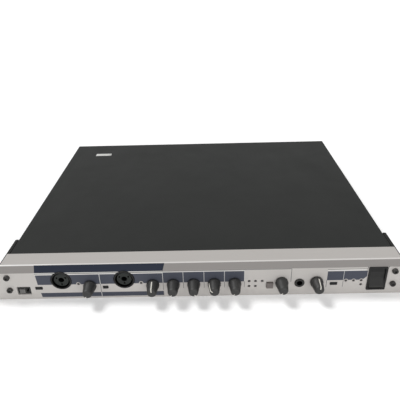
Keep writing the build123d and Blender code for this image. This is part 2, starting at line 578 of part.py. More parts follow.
with BuildPart() as din_sockets:
    block(din_places, 20.0, 20.0, REAR_IN_Y - 14.0, REAR_IN_Y)
    rod(din_places, 7.8, REAR_IN_Y, REAR_Y + 1.0)
    rod(din_places, 7.0, REAR_Y, REAR_Y + 2.0, Mode.SUBTRACT)
    for x, z in din_places:
        five = [(x + 3.75 * math.cos(math.radians(a)), z + 3.75 * math.sin(math.radians(a)))
                for a in (0, 45, 90, 135, 180)]
        rod(five, 0.8, REAR_IN_Y - 6.0, REAR_Y + 1.0, Mode.SUBTRACT)
save(din_sockets, "din_sockets")

with BuildPart() as data_sockets:
    block(data_places, 14.4, 9.4, REAR_IN_Y - 13.0, REAR_IN_Y)
    block(data_places, 12.6, 7.6, REAR_IN_Y, REAR_Y + 0.5)
    block(data_places, 11.2, 6.2, REAR_IN_Y - 9.0, REAR_Y + 1.0, Mode.SUBTRACT, 1.0)
    block(data_places, 7.6, 2.2, REAR_IN_Y - 9.5, REAR_IN_Y - 0.5)
save(data_sockets, "data_sockets")

with BuildPart() as optical_sockets:
    block(optical_places, 13.0, 13.0, REAR_IN_Y - 13.0, REAR_IN_Y)
    block(optical_places, 10.2, 10.2, REAR_IN_Y, REAR_Y + 0.5)
    block(optical_places, 8.4, 8.4, REAR_IN_Y - 7.0, REAR_Y + 1.0, Mode.SUBTRACT, 1.2)
save(optical_sockets, "optical_sockets")

with BuildPart() as phono_sockets:
    block([(PHONO_X, -2.0)], 11.0, PHONO_PITCH + 10.0, REAR_IN_Y - 11.0, REAR_IN_Y)
    rod(phono_places, 5.0, REAR_IN_Y, REAR_Y + 0.8)
    rod(phono_places, 4.15, REAR_Y + 0.8, CASE_BACK + 2.0)
    rod(phono_places, 1.6, REAR_IN_Y - 8.0, CASE_BACK + 3.0, Mode.SUBTRACT)
save(phono_sockets, "phono_sockets")

with BuildPart() as line_jacks:
    block(line_places, LINE_BODY_W, LINE_BODY_H, REAR_IN_Y - LINE_BODY_D, REAR_IN_Y)
    rod(line_places, SLEEVE_R, REAR_IN_Y, CASE_BACK + 1.4)
    rod(line_places, PLUG_R, REAR_IN_Y - LINE_BODY_D + 2.0, CASE_BACK + 3.0, Mode.SUBTRACT)
save(line_jacks, "line_jacks")

with BuildPart() as line_nuts:
    with BuildSketch(facing(REAR_Y)):
        with Locations(*line_places):
            RegularPolygon(6.4, 6)
    extrude(amount=-2.0)
    rod(line_places, SLEEVE_R + SEAT, REAR_Y - 1, REAR_Y + 3, Mode.SUBTRACT)
save(line_nuts, "line_nuts")

# ---- boards and what stands on them -----------------------------------------------------------
front_standoffs = [(x, -15.0) for x in (-170.0, -60.0, 60.0, 168.0)]
front_standoffs += [(x, 15.0) for x in (-175.0, -118.0, 45.0, 168.0)]
SPACER_R = 3.0
BOARD_SCREW_R = 1.3
BOARD_X = (-CASE_HALF + 11.5, POWER_X - 12.8)
BOARD_H = UNIT_HEIGHT - 8.0


def board_standoffs(area):
    """Four places inside a board's corners, as (x, y)."""
    x_from, x_to, y_from, y_to = area
    inset = 8.0
    return [(x, y) for x in (x_from + inset, x_to - inset) for y in (y_from + inset, y_to - inset)]


floor_standoffs = board_standoffs(MAIN_BOARD) + board_standoffs(SUPPLY_BOARD)

with BuildPart() as front_board:
    block([((BOARD_X[0] + BOARD_X[1]) / 2, 0.0)], BOARD_X[1] - BOARD_X[0], BOARD_H,
          BOARD_FRONT, BOARD_FRONT + BOARD_T)
    block(combo_places, COMBO_W + 2 * EASE, COMBO_H + 2 * EASE, BOARD_FRONT - 1,
          BOARD_FRONT + BOARD_T + 1, Mode.SUBTRACT)
    block([(PHONES_X, PHONES_Z)], PHONES_BODY + 2 * EASE, PHONES_BODY + 2 * EASE, BOARD_FRONT - 1,
          BOARD_FRONT + BOARD_T + 1, Mode.SUBTRACT)
    rod(front_standoffs, BOARD_SCREW_R + SEAT, BOARD_FRONT - 1, BOARD_FRONT + BOARD_T + 1, Mode.SUBTRACT)
save(front_board, "front_board")

with BuildPart() as main_board:
    slab(MAIN_BOARD[0], MAIN_BOARD[1], MAIN_BOARD[2], MAIN_BOARD[3], BOARD_Z, BOARD_Z + BOARD_T)
    with BuildSketch(Plane.XY.offset(BOARD_Z - 1)):
        with Locations(*board_standoffs(MAIN_BOARD)):
            Circle(BOARD_SCREW_R + SEAT)
    extrude(amount=BOARD_T + 2, mode=Mode.SUBTRACT)
save(main_board, "main_board")

with BuildPart() as supply_board:
    slab(SUPPLY_BOARD[0], SUPPLY_BOARD[1], SUPPLY_BOARD[2], SUPPLY_BOARD[3], BOARD_Z, BOARD_Z + BOARD_T)
    with BuildSketch(Plane.XY.offset(BOARD_Z - 1)):
        with Locations(*board_standoffs(SUPPLY_BOARD)):
            Circle(BOARD_SCREW_R + SEAT)
    extrude(amount=BOARD_T + 2, mode=Mode.SUBTRACT)
save(supply_board, "supply_board")

with BuildPart() as standoffs:
    rod(front_standoffs, SPACER_R, BOARD_FRONT + BOARD_T, CASE_FRONT)
    rod(front_standoffs, BOARD_SCREW_R + SEAT, BOARD_FRONT, BOARD_FRONT + BOARD_T + 5.0, Mode.SUBTRACT)
    with BuildSketch(Plane.XY.offset(FLOOR_Z)):
        with Locations(*floor_standoffs):
            Circle(SPACER_R)
    extrude(amount=STANDOFF_H)
    with BuildSketch(Plane.XY.offset(BOARD_Z + 1)):
        with Locations(*floor_standoffs):
            Circle(BOARD_SCREW_R + SEAT)
    extrude(amount=-5.0, mode=Mode.SUBTRACT)
save(standoffs, "board_standoffs")

with BuildPart() as board_screws:
    rod(front_standoffs, 2.4, BOARD_FRONT - 1.6, BOARD_FRONT)
    rod(front_standoffs, BOARD_SCREW_R, BOARD_FRONT, BOARD_FRONT + BOARD_T + 4.0)
    with BuildSketch(Plane.XY.offset(BOARD_Z + BOARD_T)):
        with Locations(*floor_standoffs):
            Circle(2.4)
    extrude(amount=1.6)
    with BuildSketch(Plane.XY.offset(BOARD_Z + BOARD_T)):
        with Locations(*floor_standoffs):
            Circle(BOARD_SCREW_R)
    extrude(amount=-(BOARD_T + 3.5))
save(board_screws, "board_screws")

CHIPS = [(-140.0, 240.0, 20.0, 20.0), (-60.0, 240.0, 28.0, 28.0), (-60.0, 170.0, 20.0, 14.0),
         (10.0, 240.0, 20.0, 20.0), (-140.0, 150.0, 18.0, 12.0), (20.0, 150.0, 14.0, 20.0),
         (-100.0, 110.0, 10.0, 18.0), (50.0, 280.0, 12.0, 18.0)]
with BuildPart() as main_chips:
    for x, y, width, depth in CHIPS:
        slab(x - width / 2, x + width / 2, y - depth / 2, y + depth / 2,
             BOARD_Z + BOARD_T, BOARD_Z + BOARD_T + 2.4)
save(main_chips, "main_chips")

SUPPLY_X = (SUPPLY_BOARD[0] + SUPPLY_BOARD[1]) / 2
with BuildPart() as transformer:
    slab(SUPPLY_X - 22, SUPPLY_X + 22, 150.0, 190.0, BOARD_Z + BOARD_T + 6.0, BOARD_Z + BOARD_T + 22.0)
    slab(SUPPLY_X - 15, SUPPLY_X + 15, 143.0, 197.0, BOARD_Z + BOARD_T, BOARD_Z + BOARD_T + 25.0)
save(transformer, "supply_transformer")

with BuildPart() as capacitors:
    with BuildSketch(Plane.XY.offset(BOARD_Z + BOARD_T)):
        with Locations((SUPPLY_X - 20, 265), (SUPPLY_X + 12, 265), (SUPPLY_X - 24, 115), (SUPPLY_X, 115)):
            Circle(9.0)
    extrude(amount=26.0)
save(capacitors, "supply_capacitors")

with BuildPart() as heat_sink:
    slab(SUPPLY_X - 40, SUPPLY_X + 40, 222.0, 225.0, BOARD_Z + BOARD_T, BOARD_Z + BOARD_T + 28.0)
    for i in range(9):
        fin_x = SUPPLY_X - 38 + i * 9.5
        slab(fin_x - 0.8, fin_x + 0.8, 225.0, 237.0, BOARD_Z + BOARD_T, BOARD_Z + BOARD_T + 28.0)
save(heat_sink, "heat_sink")

RIBBON_T = 1.0
RIBBON_Z = -6.0
RIBBON_FOOT_Y = MAIN_BOARD[2] + 6.0
with BuildPart() as ribbon:
    with BuildSketch(Plane.YZ.offset(RIBBON_X - RIBBON_W / 2)):
        with BuildLine():
            FilletPolyline((BOARD_FRONT + BOARD_T + RIBBON_T / 2, RIBBON_Z), (RIBBON_FOOT_Y, RIBBON_Z),
                           (RIBBON_FOOT_Y, BOARD_Z + BOARD_T + RIBBON_T / 2), radius=2.5)
            offset(amount=RIBBON_T / 2, side=Side.BOTH)
        make_face()
    extrude(amount=RIBBON_W)
save(ribbon, "board_ribbon")
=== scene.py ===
"""One-unit rack audio interface: finishes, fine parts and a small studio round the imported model.

Lengths are metres, X to the right, Y to the rear, Z up; the origin is the centre of the rack
screw pattern on the rear face of the ears.
"""
import math

import bmesh
import bpy
import numpy as np
from mathutils import Matrix, Vector


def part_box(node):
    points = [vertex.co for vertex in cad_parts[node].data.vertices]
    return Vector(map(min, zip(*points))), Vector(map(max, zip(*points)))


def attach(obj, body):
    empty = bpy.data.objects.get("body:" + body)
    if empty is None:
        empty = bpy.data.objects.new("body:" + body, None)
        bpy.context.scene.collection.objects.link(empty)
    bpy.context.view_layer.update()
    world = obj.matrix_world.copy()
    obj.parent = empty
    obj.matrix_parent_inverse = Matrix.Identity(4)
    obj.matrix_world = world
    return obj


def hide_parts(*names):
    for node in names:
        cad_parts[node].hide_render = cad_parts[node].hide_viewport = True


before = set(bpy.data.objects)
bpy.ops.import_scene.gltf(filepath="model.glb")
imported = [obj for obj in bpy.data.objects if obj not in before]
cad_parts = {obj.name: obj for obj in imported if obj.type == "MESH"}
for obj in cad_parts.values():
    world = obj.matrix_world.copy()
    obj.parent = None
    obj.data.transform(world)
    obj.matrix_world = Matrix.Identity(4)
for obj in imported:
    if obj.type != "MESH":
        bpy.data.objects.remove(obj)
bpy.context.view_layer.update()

bl_info = {
    "name": "Rack interface finishes",
    "version": (1, 0, 0),
    "blender": (4, 5, 0),
    "location": "View3D > Sidebar > Rack",
    "description": "Finishes and fine parts for a one-unit rack audio interface",
    "category": "Object",
}

MM = 0.001
KNOB_COUNT = 8
FLOOR_GLOW = 0.30           # floor's own light to camera and gloss rays
KEY_STRENGTH = 1.9
FILL_STRENGTH = 1.5
SKY_STRENGTH = 0.29
PLATE_FROM_SIDE = 40.0 * MM
PLATE_FROM_REAR = 47.0 * MM
PLATE_WIDTH = 26.0 * MM
PLATE_DEPTH = 9.0 * MM
PLATE_THICK = 0.12 * MM
POINTER_THICK = 0.12 * MM
POINTER_START = 0.8 * MM    # along the side, from the skirt
POINTER_END = 2.3 * MM      # from the nose's middle
KNOB_SKIRT = 3.0 * MM
KNOB_NOSE = 2.9 * MM
REST_POINTERS = (-150, -4, -150, 150, -62, -150, -150, 12)   # degrees clockwise from up


def centre(node):
    """Middle of a node's box."""
    low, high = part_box(node)
    return (low + high) / 2


PANEL_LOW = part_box("front_panel")[0]
COVER_LOW, COVER_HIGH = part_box("top_cover")
FACE_Y = PANEL_LOW.y
EDGE_Z = 14.2 * MM          # top of the flat face, where the bevel starts


# ---- fascia print, in millimetres of X and Z ---------------------------------------------------
FIELD_FOOT = -2.0           # lower edge of the channel fields and the row of knobs
CHANNELS_END = -41.0        # where the channel fields give way to the row of knobs
CHANNEL_RULE = -110.8       # rule between the two channels
ROW_END = 49.2
ROW_TOP = 12.2
LOWER_TOP = -13.4           # lower strip
LOWER_FOOT = -19.2
METER_TOP = 9.7             # field over the lamps on the right
METER_FOOT = -2.6
RULE_FOOT = -12.0           # lower end of the thin dark rules


# ---- shader maths --------------------------------------------------------------------------
def srgb(*levels):
    """Linear colour from three 0-255 display levels."""
    def linear(level):
        share = level / 255
        return share / 12.92 if share <= 0.04045 else ((share + 0.055) / 1.055) ** 2.4
    return tuple(linear(level) for level in levels) + (1.0,)


def levels(colour):
    """Display levels, 0-255, of a linear colour."""
    return tuple(255 * (12.92 * c if c <= 0.0031308 else 1.055 * c ** (1 / 2.4) - 0.055) for c in colour)


class Field:
    """A socket that can be used in Python expressions."""

    def __init__(self, shader, socket):
        self.shader, self.socket = shader, socket

    def math(self, operation, first, second):
        return self.shader.node("ShaderNodeMath", {"operation": operation}, {0: first, 1: second})

    def __add__(self, other):
        return self.math("ADD", self, other)

    def __radd__(self, other):
        return self.math("ADD", other, self)

    def __sub__(self, other):
        return self.math("SUBTRACT", self, other)

    def __rsub__(self, other):
        return self.math("SUBTRACT", other, self)

    def __mul__(self, other):
        return self.math("MULTIPLY", self, other)

    def __rmul__(self, other):
        return self.math("MULTIPLY", other, self)

    def __or__(self, other):
        return self.math("MAXIMUM", self, other)

    def __and__(self, other):
        return self.math("MULTIPLY", self, other)


class Shader:
    """One material's node tree, written through node() and a few shorthands."""

    def __init__(self, name):
        self.material = bpy.data.materials.new(name)
        self.material.use_nodes = True
        self.tree = self.material.node_tree
        self.tree.nodes.clear()
        self.place = None

    def node(self, kind, settings=None, sockets=None, out=0):
        """Add one node: settings first, then values or links of its sockets."""
        made = self.tree.nodes.new(kind)
        for key, value in (settings or {}).items():
            setattr(made, key, value)
        for key, value in (sockets or {}).items():
            if isinstance(value, Field):
                self.tree.links.new(value.socket, made.inputs[key])
            else:
                made.inputs[key].default_value = value
        return Field(self, made.outputs[out])

    def point(self):
        """Object coordinates, in metres."""
        if self.place is None:
            self.place = self.node("ShaderNodeTexCoord", out="Object")
        return self.place

    def axes(self):
        """The three object coordinates as values."""
        split = self.node("ShaderNodeSeparateXYZ", None, {0: self.point()}).socket.node
        return [Field(self, socket) for socket in split.outputs]

    def noise(self, scale, detail=3.0, roughness=0.55, stretch=None):
        """Noise of about 1/scale metres, from 0 to 1, optionally stretched."""
        at = self.point()
        if stretch:
            at = self.node("ShaderNodeMapping", None, {0: at, "Scale": stretch})
        return self.node("ShaderNodeTexNoise", None,
                         {"Vector": at, "Scale": scale, "Detail": detail, "Roughness": roughness})

    def blend(self, share, first, second):
        """Colour that goes from first to second as share goes from 0 to 1."""
        return self.node("ShaderNodeMix", {"data_type": "RGBA"}, {0: share, 6: first, 7: second}, out=2)

    def ramp(self, value, low, high):
        """0 below low, 1 above high, smooth between."""
        return self.node("ShaderNodeMapRange", {"interpolation_type": "SMOOTHSTEP"},
                         {0: value, 1: low, 2: high, 3: 0.0, 4: 1.0})

    def finish(self, colour, roughness, bump=None, distance=0.0001, strength=0.3, **fixed):
        """Principled surface with an optional bump; extra names are its fixed sockets."""
        sockets = {"Base Color": colour, "Roughness": roughness}
        if bump is not None:
            sockets["Normal"] = self.node("ShaderNodeBump", None,
                                          {"Strength": strength, "Distance": distance, "Height": bump})
        sockets.update({name.replace("_", " "): value for name, value in fixed.items()})
        surface = self.node("ShaderNodeBsdfPrincipled", None, sockets)
        self.node_output(surface)
        return self.material

    def node_output(self, surface):
        """Join a surface to the material's output."""
        output = self.tree.nodes.new("ShaderNodeOutputMaterial")
        self.tree.links.new(surface.socket, output.inputs["Surface"])


# ---- finishes ------------------------------------------------------------------------------
def painted_steel(name, level, grain, rough, spots=0.0):
    """Powder coat: fine even grain, broad faint mottling, and a few pale scuffs."""
    s = Shader(name)
    base, lift = srgb(*level), srgb(*[v + 9 for v in level])
    colour = s.blend(s.noise(14.0, 4.0), base, lift)
    grains = s.noise(grain, 2.0)
    if spots:
        scuff = s.ramp(s.noise(75.0, 3.0), 0.76, 0.82) & s.ramp(s.noise(9.0, 2.0), 0.52, 0.62)
        colour = s.blend(scuff * spots, colour, srgb(132, 130, 126))
    return s.finish(colour, s.noise(30.0) * 0.14 + rough, grains, 0.00012, 0.35,
                    Specular_IOR_Level=0.06)


def moulded(name, level, rough, grain=2600.0, variation=8, strength=0.25, **fixed):
    """Moulded plastic: near-even colour, fine spark grain and slight rubbing."""
    s = Shader(name)
    colour = s.blend(s.noise(160.0, 3.0), srgb(*level), srgb(*[v + variation for v in level]))
    return s.finish(colour, s.noise(240.0) * 0.14 + rough, s.noise(grain, 2.0), 0.00006, strength, **fixed)


def metal(name, level, rough, grain=900.0, stretch=None):
    """Plated or bare metal with faint tool marks and dulled patches."""
    s = Shader(name)
    marks = s.noise(grain, 3.0, stretch=stretch)
    colour = s.blend(s.noise(120.0, 3.0), srgb(*level), srgb(*[v * 0.86 for v in level]))
    return s.finish(colour, marks * 0.16 + rough, marks, 0.00003, 0.2, Metallic=1.0)


def board(name, level):
    """Circuit board: green mask with straight copper runs that show through slightly."""
    s = Shader(name)
    runs = s.ramp(s.noise(210.0, 1.0, stretch=(1.0, 0.12, 1.0)), 0.54, 0.58)
    pads = s.ramp(s.noise(420.0, 1.0), 0.70, 0.73)
    colour = s.blend(runs, srgb(*level), srgb(*[v + 18 for v in level]))
    colour = s.blend(pads, colour, srgb(168, 166, 150))
    return s.finish(colour, pads * -0.1 + 0.42, runs, 0.00004, 0.4)


def ribbon_finish(name):
    """Flat cable: grey sheath with a row of parallel conductors along its length."""
    s = Shader(name)
    x, y, z = s.axes()
    ridges = s.node("ShaderNodeMath", {"operation": "SINE"}, {0: x * (2 * math.pi / (1.27 * MM))})
    first = s.ramp(x, -13.8 * MM, -13.6 * MM)
    colour = s.blend(s.noise(60.0), srgb(140, 140, 138), srgb(156, 155, 152))
    colour = s.blend(first, srgb(150, 60, 52), colour)
    return s.finish(colour, s.noise(300.0) * 0.1 + 0.5, ridges, 0.0003, 0.6)


def laminate(name):
    """Stacked core plates: thin dark joints between grey steel sheets."""
    s = Shader(name)
    x, y, z = s.axes()
    joints = s.node("ShaderNodeMath", {"operation": "SINE"}, {0: z * (2 * math.pi / (0.7 * MM))})
    colour = s.blend(s.ramp(joints, 0.5, 0.95), srgb(122, 120, 118), srgb(70, 68, 66))
    return s.finish(colour, s.noise(400.0) * 0.15 + 0.4, joints, 0.0002, 0.5, Metallic=0.7)


def fascia_finish(sizes):
    """Satin silver paint with printed blue fields, white and dark rules, read from X and Z; the bevel and
    the top strip carry painted shade and the rounding between them a painted highlight.
    """
    s = Shader("fascia_print")
    x, y, z = [axis * (1 / MM) for axis in s.axes()]

    def above(value, limit):
        return s.ramp(value, limit - 0.12, limit + 0.12)

    def span(value, low, high):
        """1 between two limits that may themselves be fields."""
        return above(value - low, 0.0) & (1 - above(value - high, 0.0))

    def box(x_low, x_high, z_low, z_high):
        return span(x, x_low, x_high) & span(z, z_low, z_high)

    edge = EDGE_Z / MM
    bevel = above(z, edge + 0.1)
    face = 1 - bevel
    # slanted outer edges of the blue field
    upper = above(z, FIELD_FOOT)
    left = (1 - upper) * ((z - FIELD_FOOT) * -0.135) - 180.8 + upper * ((z - FIELD_FOOT) * -0.0625)
    inside_left = above(x - left, 0.0)
    past_right = above(x - ((22.0 - z) * -0.29 - 38.3), 0.0)
    blue_bevel = bevel & inside_left & (1 - past_right) & (1 - above(z, 21.4))
    channel_blue = face & inside_left & (1 - above(x, -41.0)) & span(z, FIELD_FOOT, 11.2)
    row_blue = box(CHANNELS_END, ROW_END, FIELD_FOOT, ROW_TOP)
    lower_blue = inside_left & (1 - above(x, -40.8)) & span(z, LOWER_FOOT, LOWER_TOP)
    right_edge = 183.7 - (1 - above(z, 2.0)) * (2.0 - z)
    meter_blue = above(x, 140.2) & (1 - above(x - right_edge, 0.0)) & span(z, METER_FOOT, METER_TOP)
    # lamps sit in round bites out of the fields' lower edges
    bites = None
    for lamp_x, lamp_z in ((-135.3, -1.6), (-65.3, -1.6), (161.2, -3.4), (169.6, -3.4), (178.0, -3.4)):
        reach = (x - lamp_x) * (x - lamp_x) + (z - lamp_z) * (z - lamp_z)
        bite = 1 - s.ramp(reach, 2.4 ** 2 - 1.0, 2.4 ** 2 + 1.0)
        bites = bite if bites is None else bites | bite
    blue = (blue_bevel | channel_blue | row_blue | lower_blue | meter_blue) & (1 - bites)

    white = box(-182.0, CHANNELS_END, 13.5, 14.2) | box(-182.0, CHANNELS_END, 11.4, 12.6)
    white = white | box(CHANNELS_END, ROW_END, 12.3, 13.3) | box(140.2, 182.0, 10.0, 11.6)
    dark = (box(-182.0, -41.0, 12.6, 13.4) | box(-41.0, 49.2, 13.5, 14.1) | box(49.0, 100.6, 13.6, 14.1)
            | box(100.35, 100.85, -4.0, 14.0) | box(140.0, 184.0, 11.9, 12.4)
            | box(139.8, 140.3, RULE_FOOT, METER_FOOT))
    white = white | box(CHANNEL_RULE - 0.3, CHANNEL_RULE + 0.3, FIELD_FOOT, 13.0)
    white = white | box(CHANNEL_RULE - 0.3, CHANNEL_RULE + 0.3, LOWER_FOOT, LOWER_TOP)
    dark = dark | box(CHANNEL_RULE - 0.22, CHANNEL_RULE + 0.22, LOWER_TOP, FIELD_FOOT)
    rules = [(CHANNELS_END, RULE_FOOT)] + [(x_at, -10.0) for x_at in (-18.4, 4.6, 27.1, ROW_END)]
    for rule_x, foot in rules:
        white = white | box(rule_x - 0.25, rule_x + 0.25, FIELD_FOOT, ROW_TOP)
        dark = dark | box(rule_x - 0.2, rule_x + 0.2, foot, FIELD_FOOT)
    white = white | box(158.0, 158.4, METER_FOOT, METER_TOP)
    dark = dark | box(158.0, 158.4, RULE_FOOT, METER_FOOT)
    for dot_x in (183.5, 206.0):
        spot = (x - dot_x) * (x - dot_x) + (z - 14.0) * (z - 14.0)
        dark = dark | (1 - s.ramp(spot, 0.12, 0.4))

    cloud = s.noise(22.0, 3.0)
    silver = s.blend(cloud, srgb(*levels(sizes.silver)), srgb(*[v - 7 for v in levels(sizes.silver)]))
    ink = s.blend(cloud, srgb(84, 87, 98), srgb(78, 82, 93))
    # painted shade: the silver on the bevel is painted darker, standing in for the dark reflection the
    # bevel catches
    silver = s.blend(bevel & (1 - above(z, 21.2)), silver, srgb(156, 152, 149))
    # painted shade: the top strip is painted a darker silver than the face, for how light falls on it
    silver = s.blend(above(y, 1.0), silver, srgb(192, 188, 184))
    # painted shade: the blue ink on the bevel is painted darker, for the same dark reflection
    ink = s.blend(bevel, ink, srgb(40, 46, 60))
    # painted highlight: the rounding above the bevel is painted near white as a highlight, strongest
    # towards the left
    painted_edge_highlight = above(z, 21.2) & (1 - above(y, 0.8)) & (0.35 + 0.65 * (1 - s.ramp(x, -235.0, -90.0)))
    silver = s.blend(painted_edge_highlight, silver, srgb(250, 249, 247))
    worn = s.ramp(s.noise(260.0, 4.0), 0.78, 0.86) * 0.35
    colour = s.blend(blue, silver, ink)
    colour = s.blend(dark * 0.95, colour, srgb(44, 46, 52))
    colour = s.blend((white & (1 - dark)) * 0.9, colour, srgb(242, 241, 238))
    colour = s.blend(worn & (1 - blue), colour, srgb(158, 154, 150))
    speck = s.noise(5200.0, 2.0)
    rough = s.noise(60.0) * 0.1 + 0.38 + blue * 0.06
    return s.finish(colour, rough, speck, 0.00004, 0.18, Specular_IOR_Level=0.15)


def cap_screw_finish(name):
    """Blackened steel screw: dark faces, with the head's side painted paler as a sheen of light."""
    s = Shader(name)
    x, y, z = s.axes()
    # painted sheen: the side of the head, towards the panel, is painted paler for the light it catches
    side = s.ramp(y, FACE_Y - 2.6 * MM, FACE_Y - 2.0 * MM)
    colour = s.blend(s.noise(500.0), srgb(44, 43, 42), srgb(60, 59, 58))
    colour = s.blend(side * 0.5, colour, srgb(96, 94, 92))
    return s.finish(colour, s.noise(700.0) * 0.15 + 0.34, s.noise(1500.0), 0.00005, 0.3, Metallic=0.6)


def rocker_finish(name):
    """Rocker cap: pebble grain with a smooth band across each end; the upper band is painted near black as
    shade and the lower band painted lighter as light.
    """
    s = Shader(name)
    x, y, z = s.axes()
    # painted shade: the upper band, pushed in under the frame, is painted near black
    upper = s.ramp(z, 7.6 * MM, 8.0 * MM)
    # painted light: the lower band is painted lighter than the field
    lower = 1 - s.ramp(z, -10.2 * MM, -9.8 * MM)
    field = (1 - upper) & (1 - lower)
    colour = s.blend(upper, srgb(32, 32, 31), srgb(6, 6, 6))
    colour = s.blend(lower, colour, srgb(44, 44, 42))
    pebbles = s.node("ShaderNodeTexVoronoi", None, {"Vector": s.point(), "Scale": 900.0})
    return s.finish(colour, pebbles * 0.1 + 0.42, pebbles & field, 0.00012, 0.5, Specular_IOR_Level=0.3)


def socket_finish(name, level):
    """Jack moulding, with painted shade darkening the inside of its bores."""
    s = Shader(name)
    x, y, z = s.axes()
    # painted shade: darker the deeper into the bores
    painted_bore_shade = s.ramp(y, FACE_Y + 1.5 * MM, FACE_Y + 5 * MM) & (1 - s.ramp(y, 0.30, 0.31))
    colour = s.blend(s.noise(240.0), srgb(*level), srgb(*[v + 9 for v in level]))
    colour = s.blend(painted_bore_shade * 0.6, colour, srgb(10, 10, 10))
    return s.finish(colour, s.noise(400.0) * 0.12 + 0.38, s.noise(2600.0), 0.00005, 0.25)


def combo_finish(name):
    """Combination jack: near-black barrel and a paler insert, told apart by distance from the
    jack's own axis, with painted shade making its bores darker still."""
    s = Shader(name)
    x, y, z = [axis * (1 / MM) for axis in s.axes()]
    insert = None
    for node in ("combo_jack_1", "combo_jack_2"):
        low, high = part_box(node)
        across = x - (low.x + high.x) / 2 / MM
        upright = z - (low.z + high.z) / 2 / MM
        disc = 1 - s.ramp(across * across + upright * upright, 8.2 ** 2, 8.6 ** 2)
        insert = disc if insert is None else insert | disc
    # painted shade: the bores darken with depth
    painted_bore_shade = s.ramp(y, FACE_Y / MM + 1.5, FACE_Y / MM + 4.0)
    colour = s.blend(insert, srgb(8, 8, 8), srgb(33, 37, 35))
    colour = s.blend(painted_bore_shade, colour, srgb(3, 3, 3))
    return s.finish(colour, s.noise(400.0) * 0.12 + 0.4, s.noise(2600.0), 0.00005, 0.25,
                    Specular_IOR_Level=0.3)


def make_finishes(sizes):
    """Every node's material, by node name; numbered nodes share their family's finish."""
    steel = painted_steel("cover_coat", levels(sizes.cover), 2300.0, 0.5, spots=0.5)
    pan = painted_steel("pan_coat", (56, 56, 55), 2300.0, 0.52)
    jack = socket_finish("jack_moulding", (19, 20, 19))
    pot = moulded("switch_moulding", (36, 36, 38), 0.45)
    bright = metal("bright_plate", (196, 194, 190), 0.24)
    dull = metal("dull_plate", (150, 149, 146), 0.36)
    button = moulded("pad_button_dark", (13, 13, 14), 0.45, Specular_IOR_Level=0.3)
    return {
        "front_panel": fascia_finish(sizes), "top_cover": steel, "base_pan": pan, "rear_panel": pan,
        "side_bracket": painted_steel("bracket_coat", (38, 38, 37), 1900.0, 0.48, spots=0.35),
        "panel_screws": cap_screw_finish("cap_screw_black"),
        "case_screws": metal("case_screw_black", (74, 73, 72), 0.36),
        "knob_shaft": dull, "knob_": moulded("knob_plastic", levels(sizes.knob), 0.44),
        "potentiometers": dull, "combo_jack": combo_finish("combo_moulding"),
        "combo_contacts": metal("contact_bronze", (70, 64, 54), 0.4), "phones_jack": jack,
        "phones_ring": metal("ring_nut_black", (66, 65, 63), 0.3),
        "slide_housing": moulded("housing_black", (24, 24, 24), 0.5),
        "slide_lever": moulded("lever_grey", (118, 117, 115), 0.45),
        "pad_button": button, "select_button": button,
        "square_button": moulded("square_button_grey", (112, 105, 102), 0.42),
        "button_switches": pot, "indicator_lamps": moulded("lamp_lens", (38, 30, 29), 0.16, 1200.0, 6, 0.05,
                                                           Coat_Weight=0.5),
        "power_frame": moulded("frame_black", (10, 10, 10), 0.4, Specular_IOR_Level=0.3),
        "power_rocker": rocker_finish("rocker_cap"),
        "mains_inlet": moulded("inlet_black", (28, 28, 28), 0.42), "inlet_pins": bright,
        "din_sockets": jack, "data_sockets": bright,
        "optical_sockets": moulded("optical_black", (26, 26, 27), 0.4),
        "phono_sockets": bright, "line_jacks": jack, "line_nuts": bright,
        "front_board": board("board_mask", (24, 70, 46)), "main_board": board("main_mask", (22, 66, 44)),
        "supply_board": board("supply_mask", (28, 64, 40)), "board_standoffs": dull, "board_screws": bright,
        "main_chips": moulded("chip_epoxy", (32, 32, 34), 0.5),
        "supply_transformer": laminate("core_laminate"),
        "supply_capacitors": moulded("can_sleeve", (36, 40, 62), 0.35),
        "heat_sink": metal("sink_alloy", (168, 168, 168), 0.34, 700.0, (1.0, 1.0, 0.1)),
        "board_ribbon": ribbon_finish("ribbon_sheath"),
    }


# ---- surfaces worked out on grids --------------------------------------------------------------
def grid_faces(rows, columns, closed):
    """Quads of a rows by columns grid, joined round its columns when closed."""
    row, column = np.meshgrid(np.arange(rows - 1), np.arange(columns if closed else columns - 1),
                              indexing="ij")
    after = (column + 1) % columns
    return np.stack([row * columns + column, row * columns + after,
                     (row + 1) * columns + after, (row + 1) * columns + column], -1).reshape(-1, 4)


def make_piece(name, points, faces, material, body):
    """Mesh object at the origin, doubles merged and normals outward, riding on a body."""
    mesh = bpy.data.meshes.new(name)
    mesh.from_pydata(points.tolist(), [], faces.tolist())
    work = bmesh.new()
    work.from_mesh(mesh)
    bmesh.ops.remove_doubles(work, verts=work.verts, dist=1e-6)
    bmesh.ops.recalc_face_normals(work, faces=work.faces)
    work.to_mesh(mesh)
    work.free()
    mesh.polygons.foreach_set("use_smooth", np.ones(len(mesh.polygons), bool))
    mesh.set_sharp_from_angle(angle=math.radians(34))
    mesh.materials.append(material)
    piece = bpy.data.objects.new(name, mesh)
    bpy.context.scene.collection.objects.link(piece)
    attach(piece, body)
    return piece


def turned(profile, middle, segments):
    """Surface of revolution about Y: radius and depth from the profile, angle round the axis."""
    angle = np.linspace(0, 2 * math.pi, segments, endpoint=False)
    radius, depth = profile[:, :1], profile[:, 1:]
    points = np.stack([middle.x + radius * np.sin(angle), depth + 0 * angle,
                       middle.z + radius * np.cos(angle)], -1)
    return points.reshape(-1, 3), grid_faces(len(profile), segments, True)


